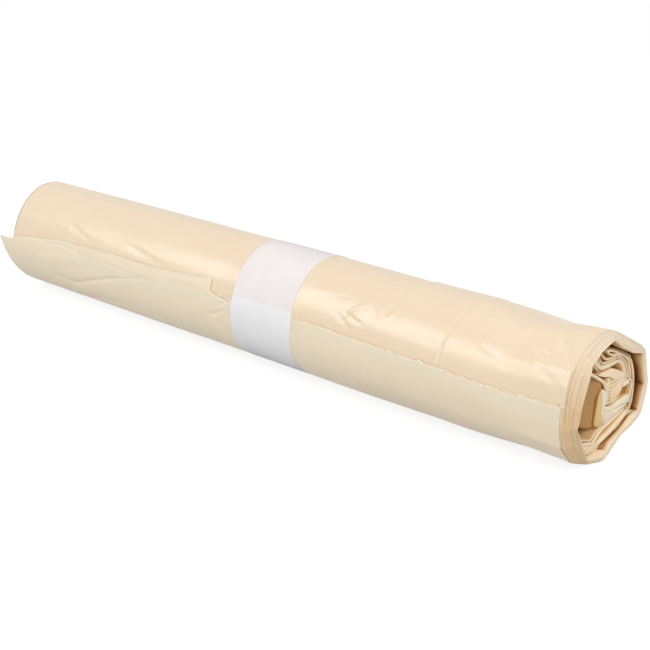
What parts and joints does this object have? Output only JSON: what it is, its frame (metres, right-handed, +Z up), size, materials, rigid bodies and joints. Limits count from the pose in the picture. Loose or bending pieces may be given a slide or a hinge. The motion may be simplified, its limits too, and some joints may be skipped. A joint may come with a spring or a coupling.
{
  "type": "bin bag roll",
  "caption": "Coreless roll of folded translucent film bags, layered and squashed at one end, held by a paper band round its middle.",
  "frame": {"origin": "middle of the part's foot, on the surface that the roll lies on", "axes": "+X along the roll towards its open layered end, +Z up, and the roll's free edge faces -Y"},
  "size_m": [0.318, 0.0486, 0.0457],
  "materials": {
    "film": "soft gloss",
    "paper": "matte"
  },
  "bodies": {
    "root": {"bag_roll": "film", "paper_band": "paper"}
  },
  "joints": []
}
